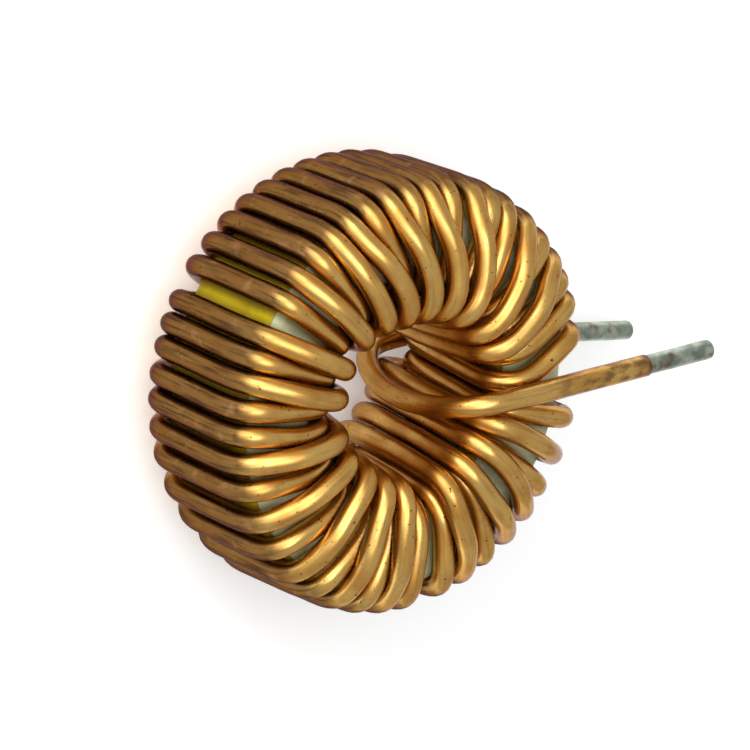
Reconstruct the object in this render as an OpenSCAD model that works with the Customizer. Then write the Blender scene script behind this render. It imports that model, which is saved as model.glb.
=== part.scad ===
// Radial inductor: a heavy enamelled copper wire wound by hand round a powdered-iron ring.
// Lies on its back with the ring's axis along +Z, painted face up, and both leads leave towards +X.
// Millimetres. The origin is under the middle of the whole object, on the floor.

/* [Ring core] */
// Outer diameter of the ring
core_od = 23.9; // [20:0.1:30]
// Bore of the ring
core_id = 14.2; // [12:0.1:18]
// Thickness of the ring along its axis
core_h = 7.92; // [5:0.01:12]
// Radius of the ring's four rounded edges
core_edge_r = 0.9; // [0.5:0.1:1.5]
// Thickness of the second paint on the front face
coat_t = 0.12; // [0.05:0.01:0.3]
// How far the second paint runs down the rounded edges, in degrees above level
coat_from = 40; // [20:5:70]

/* [Wire] */
// Diameter of the wire over its enamel
wire_d = 1.34; // [1:0.01:1.6]
// Diameter of the copper where the enamel is stripped
copper_d = 1.14; // [0.8:0.01:1.4]
// Corners of the wire's section in this model
wire_sides = 8; // [6:1:12]
// Gap that the stiff wire leaves on the ring's outer wall
slack_side = 0.1; // [0.05:0.05:0.5]
// Gap that the wire leaves on the ring's faces
slack_face = 0.04; // [0.02:0.01:0.2]
// Centre-line radius of the wire's bends at the outer edges
bend_out = 1.1; // [0.9:0.05:2]
// Centre-line radius of the wire's bends at the bore
bend_in = 1.35; // [0.9:0.05:2]

/* [Winding] */
// Radius, to the wire's centre, of the turns that lie on the bore's wall
bore_r_under = 6.4; // [5.8:0.01:6.42]
// Radius, to the wire's centre, of the turns that lie inside those
bore_r_over = 5.08; // [4.5:0.01:5.2]
// Height at which an inner-layer turn crosses its neighbours on the ring's faces
lift = 1.3; // [0.9:0.05:1.6]
// Share of that height that the turn already has at the outer corner
corner_share = 0.3; // [0:0.05:0.6]
// How far every turn leans on the outer wall, in degrees
side_lean = 1; // [0:0.5:3]
// Greatest lean of a turn on the bore's wall, in degrees
bore_lean = 9; // [0:0.5:15]
// Angle round the ring at which the turns do not lean in the bore
upright_at = 120; // [0:5:355]

/* [Leads] */
// Distance from the ring's axis to the front lead's tip
front_tip_x = 21.85; // [16:0.05:30]
// Distance from the ring's axis to the rear lead's tip
rear_tip_x = 24.8; // [16:0.05:30]
// Length of each tinned end
tin_len = 5.2; // [3:0.1:8]
// Diameter of each tinned end
tin_d = 1.22; // [1:0.01:1.5]
// Chamfer that the cutters leave on each tip
tip_chamfer = 0.12; // [0.05:0.01:0.3]

/* [Hidden] */

// The lay of the hand-wound turns, in degrees round the ring from +X.
// Where each turn comes over the outer front edge:
rim_angles = [
    7, 16.5, 24, 30.5, 38, 46, 55, 62, 69, 78, 85, 91.5, 98.5, 105.5,
    112.5, 119, 126, 133.5, 141, 151.5, 158, 164.5, 172, 179, 187, 195, 205, 215,
    225.5, 235, 244, 252.5, 260, 267.5, 280, 288, 296.5, 305.5, 314, 322, 332, 343
];
// Where the same turn goes down into the bore:
bore_angles = [
    -3.5, 10.5, 23, 21.5, 35.5, 37.5, 48, 60.5, 57, 73, 72.5, 85.5, 88, 98,
    103.5, 118.5, 124, 133.5, 141.5, 151.5, 158.5, 166.5, 172, 184, 187.5, 201, 203, 222,
    220, 242.5, 237.5, 255.5, 253.5, 271, 284, 286, 302.5, 303.5, 320, 324, 335.5, 343
];
// Turns of the bore's inner layer, counted from 0. Most of them alternate with the others.
over_turns = concat(
    [3, 5],
    [for (k = [8:2:14]) k],
    [for (k = [15:2:21]) k],
    [for (k = [24:2:32]) k],
    [35, 37, 38, 40]
);
turns = len(rim_angles);

wire_r = wire_d / 2;
copper_r = copper_d / 2;
side_r = core_od / 2 + wire_r + slack_side;
face_z = core_h / 2 + wire_r + slack_face;
rim_r = side_r - bend_out;
climb = 0.35;
rear_climb_turn = 0.2;
lead_z = face_z + 1.23;

// Routes of the two leads about the ring's centre, laid by hand.
front_y = -0.92;
front_route = [
    [front_tip_x - tin_len, front_y, lead_z],
    [12, front_y, lead_z],
    [6.2, front_y, lead_z],
    [4.6, front_y, lead_z - 0.1],
    [3.7, front_y - 0.1, lead_z - 0.7],
    [3.05, front_y - 0.35, lead_z - 1.9],
    [2.75, front_y - 0.65, 2],
    [2.7, front_y - 0.75, 0],
    [2.85, front_y - 0.65, -2],
    [3.2, front_y - 0.2, -3.7],
    [3.9, front_y + 0.45, -5.1],
    [5.1, front_y + 0.75, -lead_z],
    [6.6, front_y + 0.8, -lead_z - 0.05],
    [8.2, front_y + 0.8, -lead_z],
    [9.8, front_y + 1.15, 0.55 - lead_z]
];
rear_tip = [rear_tip_x, -2.85, -face_z];
rear_aim = [17.5, -1.64, -face_z];
rear_route = [[12.9, -1.1, -face_z], [15.5, -1.35, -face_z], rear_aim];

function unit(v) = v / norm(v);
function in_list(k, list) = len(search(k, list)) > 0;
function polar(r, a, z) = [r * cos(a), r * sin(a), z];

// Where turn k's rear run meets the outer edge and the bore, and how far it stands off the ring.
function next_rim(k) = (k == turns - 1 ? rim_angles[0] + 360 : rim_angles[k + 1]) - side_lean;
function back_bore(k) = bore_angles[k] + bore_lean * (1 - cos(bore_angles[k] - upright_at)) / 2;
function lift_of(k) = in_list(k, over_turns) ? lift : 0;

// Frame: the object's box is centred on the origin and stands on the floor.
flat_r = wire_r * cos(180 / wire_sides);
floor_z = -(face_z + lift + flat_r);
centre_x = (rear_tip_x - side_r - flat_r) / 2;

// Points along an arc in the plane that holds the ring's axis, at angle a round it.
function bend(a, centre, r, from, to, steps) = [
    for (i = [0:steps])
        let (t = from + (to - from) * i / steps)
        polar(centre[0] + r * cos(t), a, centre[1] + r * sin(t))
];

// One turn: up the outer wall, over the front face, down the bore, back under the rear face.
function turn_points(k) =
    let (
        last = k == turns - 1,
        rim = rim_angles[k],
        bore = bore_angles[k],
        back = back_bore(k),
        rise = lift_of(k),
        bore_r = (rise > 0 ? bore_r_over : bore_r_under) + bend_in,
        mid_r = rim_r + (bore_r - rim_r) * climb,
        rear_corner = bend_out - face_z - lift_of(k - 1) * corner_share,
        front_corner = face_z + rise * corner_share - bend_out,
        next = next_rim(k)
    )
    concat(
        bend(rim - side_lean, [rim_r, rear_corner], bend_out, -90, 0, 2),
        bend(rim, [rim_r, front_corner], bend_out, 0, 90, 2),
        [polar(mid_r, rim + (bore - rim) * climb, face_z + rise)],
        bend(bore, [bore_r, face_z + rise - bend_in], bend_in, 90, 180, 3),
        bend(back, [bore_r, bend_in - face_z - rise], bend_in, 180, 270, 3),
        last ? [] : [polar(mid_r, next + (back - next) * rear_climb_turn, -face_z - rise)]
    );

// Corners of the wire's section at point p. It heads along t, and one corner lies sideways,
// round the ring, so neighbouring sections never twist against each other.
function section(p, t, r) =
    let (
        round_ring = unit([-p[1], p[0], 0]),
        side = unit(round_ring - t * (round_ring * t)),
        up = cross(t, side)
    )
    [
        for (j = [0:wire_sides - 1])
            let (a = 360 * (j + 0.5) / wire_sides)
            p + r * (cos(a) * side + sin(a) * up)
    ];

// A closed tube along a path, with its own radius at each point.
module swept_wire(path, radii) {
    n = len(path);
    s = wire_sides;
    points = [
        for (i = [0:n - 1])
            let (t = unit(path[min(i + 1, n - 1)] - path[max(i - 1, 0)]))
            each section(path[i], t, radii[i])
    ];
    walls = [
        for (i = [0:n - 2], j = [0:s - 1])
            let (q = (j + 1) % s)
            each [
                [i * s + j, (i + 1) * s + j, (i + 1) * s + q],
                [i * s + j, (i + 1) * s + q, i * s + q]
            ]
    ];
    first = [for (j = [0:s - 1]) j];
    last = [for (j = [s - 1:-1:0]) (n - 1) * s + j];
    polyhedron(points, concat([first], walls, [last]), convexity = 12);
}

// A point at a distance before the tip, along the lead's last straight run.
function before(tip, from, distance) = tip - unit(tip - from) * distance;

function ring_profile(h) = [
    for (c = [[1, 1, 0], [-1, 1, 90], [-1, -1, 180], [1, -1, 270]])
        for (i = [0:4])
            let (a = c[2] + 90 * i / 4)
            [
                (core_od + core_id) / 4 + c[0] * ((core_od - core_id) / 4 - core_edge_r) + core_edge_r * cos(a),
                c[1] * (h / 2 - core_edge_r) + core_edge_r * sin(a)
            ]
];

module in_frame() {
    translate([-centre_x, 0, -floor_z])
        children();
}

// The pressed ring in its first paint. It is lower by the second paint's thickness.
module core() {
    color("#c9b400")
        in_frame()
        translate([0, 0, -coat_t / 2])
        rotate_extrude($fn = 96)
        polygon(ring_profile(core_h - coat_t));
}

// The second paint: a cap over the front face that ends part of the way down both edges.
module face_paint() {
    outer_c = core_od / 2 - core_edge_r;
    inner_c = core_id / 2 + core_edge_r;
    z = core_h / 2 - core_edge_r;
    steps = 4;
    sweep = 90 - coat_from;
    rise = [for (i = [0:steps]) coat_from + sweep * i / steps];
    top = concat(
        [for (a = rise) [outer_c + core_edge_r * cos(a), z + core_edge_r * sin(a)]],
        [for (a = rise) [inner_c - core_edge_r * cos(130 - a), z + core_edge_r * sin(130 - a)]]
    );
    n = len(top);
    color("#b4ba98")
        in_frame()
        rotate_extrude($fn = 96)
        polygon(concat(top, [for (i = [n - 1:-1:0]) top[i] - [0, coat_t]]));
}

// The one enamelled wire, from the front lead through every turn to the rear lead.
module winding() {
    front_tip = [front_tip_x, front_y, lead_z];
    hide = tip_chamfer + 0.1;
    step = 0.05;
    stripped_front = [
        before(front_tip, front_route[0], hide),
        before(front_tip, front_route[0], tin_len - step)
    ];
    stripped_rear = [
        before(rear_tip, rear_aim, tin_len - step),
        before(rear_tip, rear_aim, hide)
    ];
    enamelled = concat(
        front_route,
        [for (k = [0:turns - 1]) each turn_points(k)],
        rear_route,
        [before(rear_tip, rear_aim, tin_len)]
    );
    radii = concat(
        [copper_r, copper_r],
        [for (p = enamelled) wire_r],
        [copper_r, copper_r]
    );
    color("#c08a45")
        in_frame()
        swept_wire(concat(stripped_front, enamelled, stripped_rear), radii);
}

// Solder on a stripped end: a thin cup over the copper, with a chamfered tip, along +X.
module tinned_end() {
    floor_t = tip_chamfer + 0.08;
    r = tin_d / 2;
    rotate([0, 90, 0])
        rotate_extrude($fn = 48)
        polygon([
            [copper_r + 0.005, 0],
            [r, 0],
            [r, tin_len - tip_chamfer],
            [r - tip_chamfer, tin_len],
            [0, tin_len],
            [0, tin_len - floor_t],
            [copper_r + 0.005, tin_len - floor_t]
        ]);
}

module front_lead_tinning() {
    color("#8d9b90")
        in_frame()
        translate([front_tip_x - tin_len, front_y, lead_z])
        tinned_end();
}

module rear_lead_tinning() {
    away = rear_tip - rear_aim;
    color("#8d9b90")
        in_frame()
        translate(before(rear_tip, rear_aim, tin_len))
        rotate([0, 0, atan2(away[1], away[0])])
        tinned_end();
}

core();
face_paint();
winding();
front_lead_tinning();
rear_lead_tinning();
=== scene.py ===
import bpy
import numpy as np
from mathutils import Matrix, Vector


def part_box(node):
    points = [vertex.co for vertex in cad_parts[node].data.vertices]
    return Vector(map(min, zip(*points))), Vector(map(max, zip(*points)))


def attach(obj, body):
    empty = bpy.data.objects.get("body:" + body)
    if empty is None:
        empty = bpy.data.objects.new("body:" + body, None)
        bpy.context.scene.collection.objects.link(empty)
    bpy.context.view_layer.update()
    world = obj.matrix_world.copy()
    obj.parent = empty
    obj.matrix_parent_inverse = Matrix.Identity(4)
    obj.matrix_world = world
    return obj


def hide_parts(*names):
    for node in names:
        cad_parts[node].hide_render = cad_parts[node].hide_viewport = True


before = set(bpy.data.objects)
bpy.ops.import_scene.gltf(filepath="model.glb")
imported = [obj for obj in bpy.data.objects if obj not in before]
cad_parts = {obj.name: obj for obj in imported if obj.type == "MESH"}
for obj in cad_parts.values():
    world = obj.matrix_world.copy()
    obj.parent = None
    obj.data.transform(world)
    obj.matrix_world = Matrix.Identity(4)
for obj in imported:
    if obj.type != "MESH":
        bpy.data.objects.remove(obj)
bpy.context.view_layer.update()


# ---------------------------------------------------------------- the ring core
# Iron powder pressed with a binder into a ring with rounded edges, then painted all over
# in yellow epoxy. It is held by nothing but the wire wound round it.
mm = 0.001
core_outer_r = 23.9 / 2
core_bore_r = 14.2 / 2
core_height = 7.92
edge_r = 0.9
second_paint = 0.12
round_steps = 384
edge_steps = 8
wall_steps = 12
core_low, core_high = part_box("core")
ring_centre = np.array([
    (core_low.x + core_high.x) / 2,
    (core_low.y + core_high.y) / 2,
    core_low.z + core_height / 2 * mm,
])


def degrees_arc(centre, radius, start, end, steps):
    """Points of an arc: the centre plus the radius times the cosine and sine of evenly spaced angles."""
    angle = np.radians(np.linspace(start, end, steps + 1))
    return np.stack([centre[0] + radius * np.cos(angle), centre[1] + radius * np.sin(angle)], axis=1)


def ring_outline(height, lowered):
    """Half section of the ring as (radius, height) points: four quarter arcs joined by straight walls. The
    outer wall has points of its own too, because the painted shade and dirt beside each turn is kept point
    by point."""
    middle = (core_outer_r + core_bore_r) / 2
    across = (core_outer_r - core_bore_r) / 2 - edge_r
    up = height / 2 - edge_r
    wall = np.linspace(-up, up, wall_steps + 1)[1:-1]
    return np.concatenate([
        np.stack([0 * wall + core_outer_r, wall], axis=1),
        degrees_arc((middle + across, up), edge_r, 0, 90, edge_steps),
        degrees_arc((middle - across, up), edge_r, 90, 180, edge_steps),
        degrees_arc((middle - across, -up), edge_r, 180, 270, edge_steps),
        degrees_arc((middle + across, -up), edge_r, 270, 360, edge_steps),
    ]) - [0, lowered]


def lathe(profile, steps):
    """Turns a profile round Z: each (radius, height) point becomes a circle, which is its radius times the
    cosine and sine of the turn, at its height."""
    turn = np.linspace(0, 2 * np.pi, steps, endpoint=False)[None, :]
    radius, height = profile[:, :1], profile[:, 1:]
    return np.stack([radius * np.cos(turn), radius * np.sin(turn), height + 0 * turn], axis=2)


def grid_piece(name, points, uv=None, wrap_rows=True):
    """Makes a closed mesh from a grid of points in millimetres about the ring's centre. Columns always join
    up round the grid. Rows join up too, or else the first and last row are each closed by one flat face.
    The map gives each point its share of the way round and its length along, with 1 added past the seam."""
    rows, columns = points.shape[:2]
    index = np.arange(rows * columns).reshape(rows, columns)
    below = index if wrap_rows else index[:-1]
    above = np.roll(index, -1, axis=0) if wrap_rows else index[1:]
    quads = np.stack([below, np.roll(below, -1, 1), np.roll(above, -1, 1), above], axis=2).reshape(-1, 4)
    faces = quads.tolist()
    if not wrap_rows:
        faces += [index[0][::-1].tolist(), index[-1].tolist()]
    mesh = bpy.data.meshes.new(name)
    mesh.from_pydata((points.reshape(-1, 3) * mm + ring_centre).tolist(), [], faces)
    if uv is not None:
        corner_point = np.zeros(len(mesh.loops), dtype=np.int32)
        mesh.loops.foreach_get("vertex_index", corner_point)
        places = uv.reshape(-1, 2)[corner_point]
        past_seam = np.zeros((len(quads), 4), bool)
        past_seam[:, 1:3] = (quads[:, 0] % columns == columns - 1)[:, None]
        places[:quads.size][past_seam.reshape(-1), 0] += 1
        layer = mesh.uv_layers.new(name="along_wire")
        layer.data.foreach_set("uv", places.astype(np.float32).reshape(-1))
    mesh.shade_smooth()
    piece = bpy.data.objects.new(name, mesh)
    bpy.context.scene.collection.objects.link(piece)
    return piece


def linear(colour):
    """sRGB hex to linear: a dark channel is divided by 12.92, and any other one, plus 0.055 and divided by
    1.055, is raised to the power 2.4."""
    channel = np.array([int(colour[i:i + 2], 16) for i in (1, 3, 5)]) / 255
    dark = channel / 12.92
    light = ((channel + 0.055) / 1.055) ** 2.4
    return (*np.where(channel <= 0.04045, dark, light).tolist(), 1.0)


def new_material(name):
    """A material of that name without any nodes yet."""
    material = bpy.data.materials.new(name)
    material.use_nodes = True
    material.node_tree.nodes.clear()
    return material


def add(material, kind, inputs=None, **settings):
    """Adds one shader node. The settings are its own properties, and each input is a value or another
    node's output."""
    tree = material.node_tree
    made = tree.nodes.new("ShaderNode" + kind)
    for key, value in settings.items():
        setattr(made, key, value)
    for key, value in (inputs or {}).items():
        if isinstance(value, bpy.types.NodeSocket):
            tree.links.new(value, made.inputs[key])
        else:
            made.inputs[key].default_value = value
    return made


def epoxy_paint(name, colour, worn, shade_and_grime):
    """Sprayed epoxy over rough pressed powder. The eye sees a satin, slightly orange-peeled skin with half a
    millimetre from dimple to dimple, rubbed patches of 2.5 mm, and painted shade, with some dirt, where a
    turn lies on it."""
    paint = new_material(name)
    place = add(paint, "TexCoord").outputs["Object"]
    by_wire = add(paint, "Attribute", attribute_name="by_wire").outputs["Fac"]
    peel = add(paint, "TexNoise", {"Vector": place, "Scale": 1 / (0.5 * mm), "Detail": 3.0}).outputs["Fac"]
    patch = add(paint, "TexNoise", {
        "Vector": place, "Scale": 1 / (2.5 * mm), "Detail": 5.0, "Roughness": 0.6,
    }).outputs["Fac"]
    rubbed = add(paint, "MapRange", {"Value": patch, "From Min": 0.5, "From Max": 0.72}).outputs["Result"]
    tone = add(paint, "Mix", {0: rubbed, 6: linear(colour), 7: linear(worn)}, data_type="RGBA").outputs[2]
    # Painted shade, with some dirt: the paint is darkened beside each turn, the more the closer the wire
    # lies.
    tone = add(paint, "Mix", {0: by_wire, 6: tone, 7: linear(shade_and_grime)}, data_type="RGBA").outputs[2]
    bump = add(paint, "Bump", {"Height": peel, "Strength": 0.25, "Distance": 0.05 * mm}).outputs["Normal"]
    surface = add(paint, "BsdfPrincipled", {
        "Base Color": tone, "Roughness": 0.55, "IOR": 1.5, "Specular IOR Level": 0.15, "Normal": bump,
    })
    add(paint, "OutputMaterial", {"Surface": surface.outputs["BSDF"]})
    return paint


yellow_outline = ring_outline(core_height - second_paint, second_paint / 2)
core = grid_piece("painted_ring", lathe(yellow_outline[::-1], round_steps))
core.data.materials.append(epoxy_paint("yellow_epoxy_paint", "#CDB900", "#A88E04", "#7E6008"))
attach(core, "root")
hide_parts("core")


# ---------------------------------------------------------------- the second paint
# A thin pale coat of the same epoxy over the front face. It was put on after the yellow,
# and ends part of the way down both rounded edges in a soft line.
coat_from = 40  # degrees above level, at both edges
coat_edge_steps = 6
coat_face_steps = 11


def cap_outline():
    """The top of the ring's section, from where the coat starts on its outer edge to where it ends on its
    inner edge, and the same line again one coat lower. The angles are above level."""
    middle = (core_outer_r + core_bore_r) / 2
    across = (core_outer_r - core_bore_r) / 2 - edge_r
    up = core_height / 2 - edge_r
    flat = np.linspace(middle + across, middle - across, coat_face_steps + 1)[1:-1]
    top = np.concatenate([
        degrees_arc((middle + across, up), edge_r, coat_from, 90, coat_edge_steps),
        np.stack([flat, 0 * flat + up + edge_r], axis=1),
        degrees_arc((middle - across, up), edge_r, 90, 180 - coat_from, coat_edge_steps),
    ])
    return np.concatenate([top, top[::-1] - [0, second_paint]])


face_paint = grid_piece("face_paint_coat", lathe(cap_outline()[::-1], round_steps))
face_paint.data.materials.append(epoxy_paint("grey_white_epoxy_paint", "#DADFBA", "#B6BB94", "#9A9870"))
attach(face_paint, "root")
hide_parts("face_paint")


# ---------------------------------------------------------------- the winding
# One length of round copper wire under amber enamel, wound by hand through the bore: one
# layer round the outside, where the ring is wide, and two nested layers in the bore.
wire_r = 1.34 / 2
slack_side = 0.05
slack_face = 0.04
side_r = core_outer_r + wire_r + slack_side
face_z = core_height / 2 + wire_r + slack_face
bend_out = 1.1
bend_in = 1.35
rim_r = side_r - bend_out
bore_r_under = 6.4
bore_r_over = 5.08

# The lay of the turns, in degrees round the ring from +X: where each comes over the outer edge of the
# front face, and where it goes down into the bore.
rim_angles = np.array([
    7, 16.5, 24, 30.5, 38, 46, 55, 62, 69, 78, 85, 91.5, 98.5, 105.5,
    112.5, 119, 126, 133.5, 141, 151.5, 158, 164.5, 172, 179, 187, 195, 205, 215,
    225.5, 235, 244, 252.5, 260, 267.5, 280, 288, 296.5, 305.5, 314, 322, 332, 343,
])
bore_angles = np.array([
    -3.5, 10.5, 23, 21.5, 35.5, 37.5, 48, 60.5, 57, 73, 72.5, 85.5, 88, 98,
    103.5, 118.5, 124, 133.5, 141.5, 151.5, 158.5, 166.5, 172, 184, 187.5, 201, 203, 222,
    220, 242.5, 237.5, 255.5, 253.5, 271, 284, 286, 302.5, 303.5, 320, 324, 335.5, 343,
])

# The turns of the bore's inner layer. They pass over their neighbours on the faces by the lift, have
# corner_share of it at the outer front edge already, and bow over_bow further in half way down the bore.
# On the side away from the leads they start wider at the bore's mouth, so that the hole opens there.
over_turns = [3, 5, *range(8, 15, 2), *range(15, 22, 2), *range(24, 33, 2), 35, 37, 38, 40]
is_over = np.isin(np.arange(len(rim_angles)), over_turns)
lift = 1.18
corner_share = 0.05
over_bow = 0.25
mouth_wider = np.interp(bore_angles, [100, 133, 152, 188, 203, 222], [0, 0.9, 1.1, 0.9, 0.6, 0])

# The lean of the turns, in degrees: every turn leans by side_lean on the outer wall, and in the bore the
# lean grows from none at upright_at to bore_lean half way round from there.
side_lean = 1
bore_lean = 9
upright_at = 120

# A turn is level over a face at climb's share of the way from the outer edge to the bore. By then it has
# made the same share of its swing round on the front face, and rear_climb_turn's on the rear face.
climb = 0.35
rear_climb_turn = 0.2

# The two leads, given point by point. The wire stops where its tinned end starts.
tin_length = 5.2
lead_z = face_z + 1.23
front_y = -0.92
front_tip = np.array([21.85, front_y, lead_z])
front_route = np.array([
    [front_tip[0] - tin_length, front_y, lead_z],
    [12, front_y, lead_z],
    [6.2, front_y, lead_z],
    [4.6, front_y, lead_z - 0.1],
    [3.7, front_y - 0.1, lead_z - 0.7],
    [3.05, front_y - 0.35, lead_z - 1.9],
    [2.75, front_y - 0.65, 2],
    [2.7, front_y - 0.75, 0],
    [2.85, front_y - 0.65, -2],
    [3.2, front_y - 0.2, -3.7],
    [3.9, front_y + 0.45, -5.1],
    [5.1, front_y + 0.75, -lead_z],
    [6.6, front_y + 0.8, -lead_z],
    [8.2, front_y + 0.8, -lead_z],
    [9.8, front_y + 1.15, 0.55 - lead_z],
])
rear_tip = np.array([24.8, -2.85, -face_z])
rear_aim = np.array([17.5, -1.64, -face_z])
rear_way = (rear_tip - rear_aim) / np.linalg.norm(rear_tip - rear_aim)
rear_route = np.array([
    [12.9, -1.1, -face_z],
    [15.5, -1.35, -face_z],
    rear_aim,
    rear_tip - rear_way * tin_length,
])


def round_ring(radius, angle, height):
    """A point at that radius and angle, in degrees, round the ring's axis, and at that height."""
    radius, turn, height = np.broadcast_arrays(radius, np.radians(angle), height)
    return np.stack([radius * np.cos(turn), radius * np.sin(turn), height], axis=-1)


def corner(radius, angle, height, bend, start, end, steps):
    """Points of a bend in the plane that holds the ring's axis, and the wire's direction at each: the arc's
    own derivative, minus the sine outwards and the cosine upwards."""
    swing = np.radians(np.linspace(start, end, steps))[None, :]
    points = round_ring(radius + bend * np.cos(swing), angle, height + bend * np.sin(swing))
    return points, round_ring(-np.sin(swing), angle, np.cos(swing) + 0 * angle)


def unit(ways):
    """Each direction divided by its own length."""
    return ways / np.linalg.norm(ways, axis=-1, keepdims=True)


def every_turn():
    """Control points of every turn and the wire's direction at each. A turn goes up the outer wall, over the
    front face, down the bore and back under the rear face. A turn of the bore's inner layer rises over the
    others. Part of the way over a face the wire heads level, straight from one bend to the next."""
    rim = rim_angles[:, None]
    bore = bore_angles[:, None]
    back = bore + bore_lean * (1 - np.cos(np.radians(bore - upright_at))) / 2
    next_rim = np.append(rim_angles[1:], rim_angles[0] + 360)[:, None] - side_lean
    over = is_over[:, None]
    rise = np.where(over, lift, 0)
    wall_r = np.where(over, bore_r_over, bore_r_under)
    bore_r = wall_r + bend_in
    mouth_r = bore_r + np.where(over, mouth_wider[:, None], 0)
    climb_r = rim_r + (bore_r - rim_r) * climb
    climb_end = round_ring(climb_r, rim + (bore - rim) * climb, face_z + rise)
    rear_end = round_ring(climb_r, next_rim + (back - next_rim) * rear_climb_turn, -face_z - rise)
    half_down = round_ring(wall_r - np.where(over, over_bow, 0), (bore + back) / 2, 0 * rise)
    down = round_ring(0 * bore, bore, -1)
    over_front = round_ring(bore_r, bore, 0) - round_ring(rim_r, rim, 0)
    under_rear = round_ring(rim_r, next_rim, 0) - round_ring(bore_r, back, 0)
    runs = [
        corner(rim_r, rim - side_lean, bend_out - face_z, bend_out, -90, 0, 3),
        corner(rim_r, rim, face_z + corner_share * rise - bend_out, bend_out, 0, 90, 3),
        (climb_end, unit(over_front)),
        corner(mouth_r, bore, face_z + rise - bend_in, bend_in, 90, 180, 4),
        (half_down, down),
        corner(bore_r, back, bend_in - face_z - rise, bend_in, 180, 270, 4),
        (rear_end, unit(under_rear)),
    ]
    return [np.concatenate(kind, axis=1).reshape(-1, 3)[:-1] for kind in zip(*runs)]


def smooth_path(points, given, spacing):
    """A smooth curve through the points. Where no direction is given, it is the average of the two runs
    that meet there, the shorter run counting for more. A cubic joins each pair of points."""
    run = np.linalg.norm(np.diff(points, axis=0), axis=1)
    slope = np.diff(points, axis=0) / run[:, None]
    share = (run[:-1] / (run[:-1] + run[1:]))[:, None]
    tangent = np.concatenate([slope[:1], slope[1:] * share + slope[:-1] * (1 - share), slope[-1:]])
    tangent = np.where(abs(given).sum(1)[:, None] > 0, given, tangent)
    count = np.maximum(4, np.ceil(run / spacing)).astype(int)
    which = np.repeat(np.arange(len(run)), count)
    first = np.repeat(np.cumsum(count) - count, count)
    t = ((np.arange(count.sum()) - first) / count[which])[:, None]
    length = run[which][:, None]
    curve = (
        (2 * t**3 - 3 * t**2 + 1) * points[which]
        + (t**3 - 2 * t**2 + t) * length * tangent[which]
        + (3 * t**2 - 2 * t**3) * points[which + 1]
        + (t**3 - t**2) * length * tangent[which + 1]
    )
    return np.concatenate([curve, points[-1:]])


def eased(path, reach, spacing):
    """The path with even spacing and its bends eased, as stiff wire eases them: each point becomes the mean
    of its neighbours within half the reach, weighted by a raised cosine. Both ends stay, because the path
    goes on past each as its own half turn about that end. Also the length so far at each point."""
    so_far = np.append(0, np.cumsum(np.linalg.norm(np.diff(path, axis=0), axis=1)))
    even = np.linspace(0, so_far[-1], int(so_far[-1] / spacing))
    even_path = np.stack([np.interp(even, so_far, path[:, axis]) for axis in range(3)], axis=1)
    half = int(reach / spacing / 2)
    weight = 1 + np.cos(np.pi * np.arange(-half, half + 1) / (half + 1))
    weight /= weight.sum()
    before = 2 * even_path[0] - even_path[half:0:-1]
    after = 2 * even_path[-1] - even_path[-2:-half - 2:-1]
    padded = np.concatenate([before, even_path, after])
    mean = [np.convolve(padded[:, axis], weight, "valid") for axis in range(3)]
    return np.stack(mean, axis=1), even


def sweep(path, radius, sides):
    """Carries a circle along a path. The circle lies square to the path's direction. Its first axis is the
    way round the ring made square to that direction, and its second is the direction crossed with that."""
    ahead = unit(np.gradient(path, axis=0))
    around = unit(np.stack([-path[:, 1], path[:, 0], 0 * path[:, 0]], axis=1))
    side = unit(around - ahead * (around * ahead).sum(1)[:, None])
    up = np.cross(ahead, side)
    angle = np.linspace(0, 2 * np.pi, sides, endpoint=False)[None, :, None]
    offset = np.cos(angle) * side[:, None] + np.sin(angle) * up[:, None]
    return path[:, None] + offset * np.broadcast_to(radius, len(path))[:, None, None]


curve_spacing = 0.3
ring_spacing = 0.4
ease_reach = 4.0
wire_sides = 20
turn_places, turn_ways = every_turn()
control_path = smooth_path(
    np.concatenate([front_route, turn_places, rear_route]),
    np.concatenate([0 * front_route, turn_ways, 0 * rear_route]),
    curve_spacing,
)
wire_path, along = eased(control_path, ease_reach, ring_spacing)
wire_points = sweep(wire_path, wire_r, wire_sides)
around_share = np.broadcast_to(np.arange(wire_sides) / wire_sides, wire_points.shape[:2])
wire_map = np.stack([around_share, np.broadcast_to(along[:, None], wire_points.shape[:2])], axis=2)
wire = grid_piece("enamelled_wire", wire_points, wire_map, wrap_rows=False)


def nearness(points, path, along):
    """How close each point of the wire's surface comes to another turn: 1 where it touches, falling to 0
    over groove_width. Each ring tries the rings nearest to it that are more than own_stretch away along
    the wire."""
    own_stretch = 4
    tried = 12
    groove_width = 0.35
    gap = np.linalg.norm(path[:, None] - path[None], axis=2)
    gap[abs(along[:, None] - along[None]) < own_stretch] = 99
    nearest = np.argpartition(gap, tried, axis=1)[:, :tried]
    clear = np.linalg.norm(points[:, :, None] - path[nearest][:, None], axis=3).min(2) - wire_r
    return np.clip(1 - clear / groove_width, 0, 1)


def shade_and_grime_beside(piece, path):
    """How much painted shade, with some dirt, each point of a painted piece gets: 1 within the full reach of
    the wire's centre line, falling to 0 over the fade beyond it. Parts of the piece are worked through in
    turn, to spare memory."""
    shade_and_grime_full = 0.9
    shade_and_grime_fade = 0.5
    place = np.zeros(len(piece.data.vertices) * 3)
    piece.data.vertices.foreach_get("co", place)
    place = (place.reshape(-1, 3) - ring_centre) / mm
    to_wire = [
        np.linalg.norm(part[:, None] - path[None], axis=2).min(1)
        for part in np.array_split(place, 12)
    ]
    return np.clip((shade_and_grime_full + shade_and_grime_fade - np.concatenate(to_wire)) / shade_and_grime_fade, 0, 1)


def keep_mask(piece, name, values):
    """Stores one number for each point of the piece, which its material reads by that name."""
    mask = piece.data.attributes.new(name, "FLOAT", "POINT")
    mask.data.foreach_set("value", values.astype(np.float32).reshape(-1))
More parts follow.
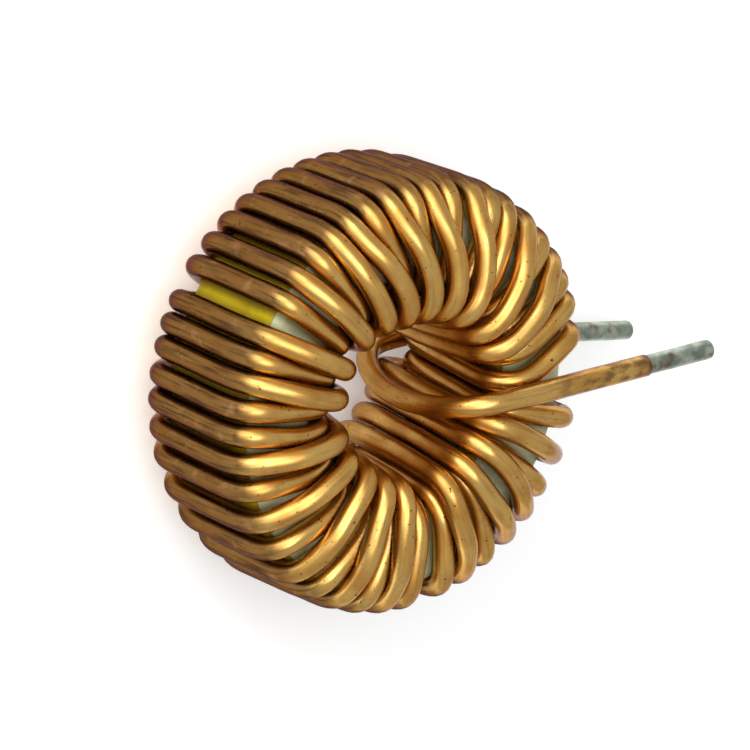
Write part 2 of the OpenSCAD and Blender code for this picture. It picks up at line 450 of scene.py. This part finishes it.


# The outer run of a turn is the stretch on the outer wall, between the two outer bends. Its enamel is
# painted browner there, as a painted dark reflection, and given less coat.
outer_run_r = 11.8
outer_run_z = 4.9
outer_run_fade = 0.8
from_axis = np.hypot(wire_points[:, :, 0], wire_points[:, :, 1])
from_middle = abs(wire_points[:, :, 2])
on_wall = np.clip((from_axis - outer_run_r) / outer_run_fade, 0, 1)
outer_run = on_wall * np.clip((outer_run_z - from_middle) / outer_run_fade, 0, 1)
# The groove mask sets the painted shade, with some dirt, where turns meet.
keep_mask(wire, "groove", nearness(wire_points, wire_path, along))
keep_mask(wire, "outer_run", outer_run)
# Painted shade, with some dirt, on the paint beside the wire.
for painted in (core, face_paint):
    keep_mask(painted, "by_wire", shade_and_grime_beside(painted, wire_path))


def patches(material, place, size_mm, detail, low, high):
    """A cloud pattern whose blobs are about that size, cut so that it runs from 0 at low to 1 at high."""
    scale = 1 / (size_mm * mm)
    cloud = add(material, "TexNoise", {"Vector": place, "Scale": scale, "Detail": detail}).outputs["Fac"]
    return add(material, "MapRange", {"Value": cloud, "From Min": low, "From Max": high}).outputs["Result"]


def marks(material, map_place, round_wire, per_mm, detail, low, high):
    """Marks that run along the wire: a cloud pattern on its map, with that many round it and per millimetre
    of its length. Both the cloud itself and its cut from 0 at low to 1 at high."""
    scale = (round_wire, per_mm, 1.0)
    stretched = add(material, "Mapping", {"Vector": map_place, "Scale": scale}).outputs["Vector"]
    cloud = add(material, "TexNoise", {"Vector": stretched, "Scale": 1.0, "Detail": detail}).outputs["Fac"]
    cut = add(material, "MapRange", {"Value": cloud, "From Min": low, "From Max": high}).outputs["Result"]
    return cloud, cut


def stained(material, colour, *stains):
    """The colour with each stain laid over it in turn: a mix towards the stain's own colour by its amount,
    which varies over the surface, times its strength."""
    for amount, strength, stain in stains:
        share = add(material, "Math", {0: amount, 1: strength}, operation="MULTIPLY").outputs[0]
        colour = add(material, "Mix", {0: share, 6: colour, 7: linear(stain)}, data_type="RGBA").outputs[2]
    return colour


def amber_enamel():
    """Copper wire drawn through dies and coated with clear amber enamel. The eye sees a warm soft metal
    sheen under a sharper, whiter shine, with fine lines along the wire, and painted shade with some dirt
    where turns meet. The outer runs are browner and shine less: a painted dark reflection, which stands in
    for dark surroundings that they would reflect."""
    enamel = new_material("amber_enamelled_copper")
    place = add(enamel, "TexCoord").outputs["Object"]
    map_place = add(enamel, "UVMap", uv_map="along_wire").outputs["UV"]
    so_far = add(enamel, "SeparateXYZ", {"Vector": map_place}).outputs["Y"]
    groove = add(enamel, "Attribute", attribute_name="groove").outputs["Fac"]
    outer = add(enamel, "Attribute", attribute_name="outer_run").outputs["Fac"]
    mottle = patches(enamel, place, 1.8, 4.0, 0.35, 0.65)
    drawn, drawn_dark = marks(enamel, map_place, 22.0, 0.3, 3.0, 0.48, 0.66)
    scuffed = marks(enamel, map_place, 6.0, 0.8, 6.0, 0.44, 0.6)[1]
    on_lead, charred = [
        add(enamel, "MapRange", {"Value": so_far, "From Min": none, "From Max": full}).outputs["Result"]
        for none, full in ((9.0, 5.0), (0.7, 0.1))
    ]
    lead_scuff = add(enamel, "Math", {0: on_lead, 1: scuffed}, operation="MULTIPLY").outputs[0]
    # Painted shade where turns meet, with some dirt: the enamel darkens the closer another turn comes.
    groove_shade_and_dirt = add(enamel, "Math", {0: groove, 1: 1.8}, operation="POWER").outputs[0]
    grit = patches(enamel, place, 0.16, 3.0, 0.5, 0.6)
    crumbs = add(enamel, "Math", {0: groove, 1: grit}, operation="MULTIPLY").outputs[0]
    rubs = patches(enamel, place, 1.1, 5.0, 0.6, 0.7)
    specks = patches(enamel, place, 0.25, 2.0, 0.68, 0.75)

    amber, brown = [
        add(enamel, "Mix", {0: share, 6: linear(pale), 7: linear(deep)}, data_type="RGBA").outputs[2]
        for share, pale, deep in ((mottle, "#F4C468", "#DCA248"), (drawn_dark, "#6C4822", "#2C180A"))
    ]
    amber = stained(enamel, amber, (drawn_dark, 0.3, "#8A5620"))
    # Painted dark reflection: the outer runs are made browner, standing in for the dark surroundings they
    # would reflect.
    dark_reflection_share = add(enamel, "Math", {0: outer, 1: 0.9}, operation="MULTIPLY").outputs[0]
    tone = add(enamel, "Mix", {0: dark_reflection_share, 6: amber, 7: brown}, data_type="RGBA").outputs[2]
    tone = stained(
        enamel, tone,
        (rubs, 0.2, "#D09A70"),
        (lead_scuff, 0.7, "#6A4420"),
        (charred, 0.7, "#6A3A14"),
        # painted shade, with some dirt, in the grooves
        (groove_shade_and_dirt, 0.85, "#5A3214"),
        (crumbs, 0.75, "#2E1A0C"),
        (specks, 1.0, "#3A2414"),
    )
    dull = add(enamel, "MapRange", {"Value": mottle, "To Min": 0.25, "To Max": 0.36}).outputs["Result"]
    coat = add(enamel, "MapRange", {"Value": outer, "To Min": 0.7, "To Max": 0.2}).outputs["Result"]
    bump = add(enamel, "Bump", {"Height": drawn, "Strength": 0.3, "Distance": 0.02 * mm}).outputs["Normal"]
    surface = add(enamel, "BsdfPrincipled", {
        "Base Color": tone, "Metallic": 1.0, "Roughness": dull, "Specular Tint": linear("#80583A"),
        "Coat Weight": coat, "Coat Roughness": 0.12, "Coat IOR": 1.5, "Normal": bump,
    })
    add(enamel, "OutputMaterial", {"Surface": surface.outputs["BSDF"]})
    return enamel


wire.data.materials.append(amber_enamel())
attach(wire, "root")
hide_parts("winding")


# ---------------------------------------------------------------- the tinned ends
# The last 5 mm of each lead, scraped bare, dipped in flux and then in solder, and cut off
# with side cutters. The film is thin, dull and a little lumpy.
tin_r = 1.22 / 2
tin_sides = 28
lump_depth = 0.008
lump_swing = 9
tin_shrink = 0.994


def tinned_end(name, tip, way, lump_phase):
    """A tube from the enamel's end to the tip. Its radius is a little under the tin's, and is pulled in near
    the tip and where it meets the copper. The lumps are the sine of lump_swing radians along the tube's
    length times the cosine of the way round it."""
    way = np.array(way) / np.linalg.norm(way)
    share = np.concatenate([[0, 0.002], np.linspace(0.02, 0.97, 40), [0.985, 0.995, 1.0]])
    path = (tip - way * (tin_length * (1 - share))[:, None])[:, None]
    narrowing = np.interp(share, [0, 0.002, 0.02, 0.975, 0.99, 1.0], [0.9, 0.94, 0.985, 0.995, 0.96, 0.86])
    points = sweep(path[:, 0], tin_r * narrowing, tin_sides)
    turn = np.linspace(0, 2 * np.pi, tin_sides, endpoint=False)[None, :]
    lumps = np.sin(share[:, None] * lump_swing + lump_phase) * np.cos(turn + lump_phase)
    points = path + (points - path) * (tin_shrink + lump_depth * lumps[:, :, None])
    tin_map = np.stack(np.broadcast_arrays(turn / (2 * np.pi), (share * tin_length)[:, None]), axis=2)
    return grid_piece(name, points, tin_map, wrap_rows=False)


def dipped_solder():
    """Tin solder left by a dip. The eye sees a dull grey-green metal, lumpy and clouded, with darker oxide
    and brown stains of burnt flux."""
    solder = new_material("dipped_solder")
    place = add(solder, "TexCoord").outputs["Object"]
    cloud = patches(solder, place, 0.7, 4.0, 0.35, 0.65)
    oxide = patches(solder, place, 1.1, 5.0, 0.5, 0.62)
    flux = patches(solder, place, 1.6, 5.0, 0.56, 0.64)
    clean = add(solder, "Mix", {0: cloud, 6: linear("#A2AE9E"), 7: linear("#C6CEBE")}, data_type="RGBA")
    tone = stained(solder, clean.outputs[2], (oxide, 0.5, "#4E5F58"), (flux, 0.7, "#7A5E3A"))
    bump = add(solder, "Bump", {"Height": cloud, "Strength": 0.35, "Distance": 0.05 * mm}).outputs["Normal"]
    surface = add(solder, "BsdfPrincipled", {
        "Base Color": tone, "Metallic": 1.0, "Roughness": 0.4, "Normal": bump,
    })
    add(solder, "OutputMaterial", {"Surface": surface.outputs["BSDF"]})
    return solder


solder = dipped_solder()
for name, tip, way, lump_phase, stands_for in (
    ("front_tinned_end", front_tip, (1, 0, 0), 0.5, "front_lead_tinning"),
    ("rear_tinned_end", rear_tip, rear_way, 2.0, "rear_lead_tinning"),
):
    end = tinned_end(name, tip, way, lump_phase)
    end.data.materials.append(solder)
    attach(end, "root")
    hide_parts(stands_for)


# ---------------------------------------------------------------- stage, lamps and camera
# A plain pale floor under the ring, soft lamps over it, and a long lens close to square on to
# the ring's front face, turned as the ring is turned when its leads point right.
floor_half = 2
floor_corners = np.array([(-1, -1, 0), (1, -1, 0), (1, 1, 0), (-1, 1, 0)]) * floor_half
floor_mesh = bpy.data.meshes.new("floor")
floor_mesh.from_pydata(floor_corners.tolist(), [], [(0, 1, 2, 3)])
floor = bpy.data.objects.new("floor", floor_mesh)
bpy.context.scene.collection.objects.link(floor)


def white_paper():
    """Matt white paper. It gives off a little light of its own to the camera, to mirrors and through glass,
    so that it is seen as white there and still takes the object's shadow."""
    paper = new_material("white_paper")
    sheet = add(paper, "BsdfDiffuse", {"Color": linear("#F4F4F4")})
    ray = add(paper, "LightPath").outputs
    seen = ray["Is Camera Ray"]
    for kind in ("Is Glossy Ray", "Is Transmission Ray"):
        seen = add(paper, "Math", {0: seen, 1: ray[kind]}, operation="MAXIMUM").outputs[0]
    glow_share = add(paper, "Math", {0: seen, 1: 0.3}, operation="MULTIPLY").outputs[0]
    glow = add(paper, "Emission", {"Strength": glow_share})
    both = add(paper, "AddShader", {0: sheet.outputs["BSDF"], 1: glow.outputs["Emission"]})
    add(paper, "OutputMaterial", {"Surface": both.outputs["Shader"]})
    return paper


floor_mesh.materials.append(white_paper())

# The camera's own axes in the object's frame: to the right and up in its picture, and from the ring back
# to the camera.
right = np.array([0.779, 0.0, 0.627])
upward = np.array([0.194, 0.951, -0.241])
back = np.array([-0.597, 0.309, 0.741])
lamp_distance = 0.4


def lamp(name, across, up, near, size, radiance):
    """A square soft panel, placed by its direction from the ring in the camera's own right, up and back
    axes. Its power is its radiance times pi times its area."""
    way = unit(across * right + up * upward + near * back)
    panel = bpy.data.lights.new(name, "AREA")
    panel.size = size
    panel.energy = radiance * np.pi * size**2
    light = bpy.data.objects.new(name, panel)
    bpy.context.scene.collection.objects.link(light)
    light.location = ring_centre + way * lamp_distance
    light.rotation_mode = "QUATERNION"
    light.rotation_quaternion = Vector(way).to_track_quat("Z", "Y")


lamp("panel_over_camera", 0.0, 0.1, 1.0, 0.52, 0.8)
lamp("key", -0.2, 0.5, 0.85, 0.32, 1.6)
lamp("key_core", -0.2, 0.5, 0.85, 0.11, 6.0)
lamp("second", 0.3, -0.1, 0.95, 0.24, 2.0)

world = bpy.data.worlds.new("room")
bpy.context.scene.world = world
world.use_nodes = True
room = world.node_tree.nodes["Background"]
room.inputs["Color"].default_value = (1, 1, 1, 1)
room.inputs["Strength"].default_value = 0.48

# Lengths in the picture are in its pixels, and so is the lens's length. A millimetre at the ring takes up
# pixels_per_mm, which sets the camera's distance. The ring's centre is seen near ring_seen_at, which is
# given across and down.
sensor_width = 36
picture_size = 750
lens_length = 4500
pixels_per_mm = 17.0
ring_seen_at = (366.9, 382.2)
camera_data = bpy.data.cameras.new("camera")
camera = bpy.data.objects.new("camera", camera_data)
bpy.context.scene.collection.objects.link(camera)
camera_data.sensor_width = sensor_width
camera_data.lens = sensor_width * lens_length / picture_size
camera_data.shift_x = (picture_size / 2 - ring_seen_at[0]) / picture_size
camera_data.shift_y = (ring_seen_at[1] - picture_size / 2) / picture_size
camera_data.clip_start = 0.01
stand = Matrix((right, upward, back)).transposed().to_4x4()
stand.translation = ring_centre + unit(back) * lens_length / pixels_per_mm * mm
camera.matrix_world = stand
bpy.context.scene.camera = camera
bpy.context.scene.view_settings.view_transform = "Standard"
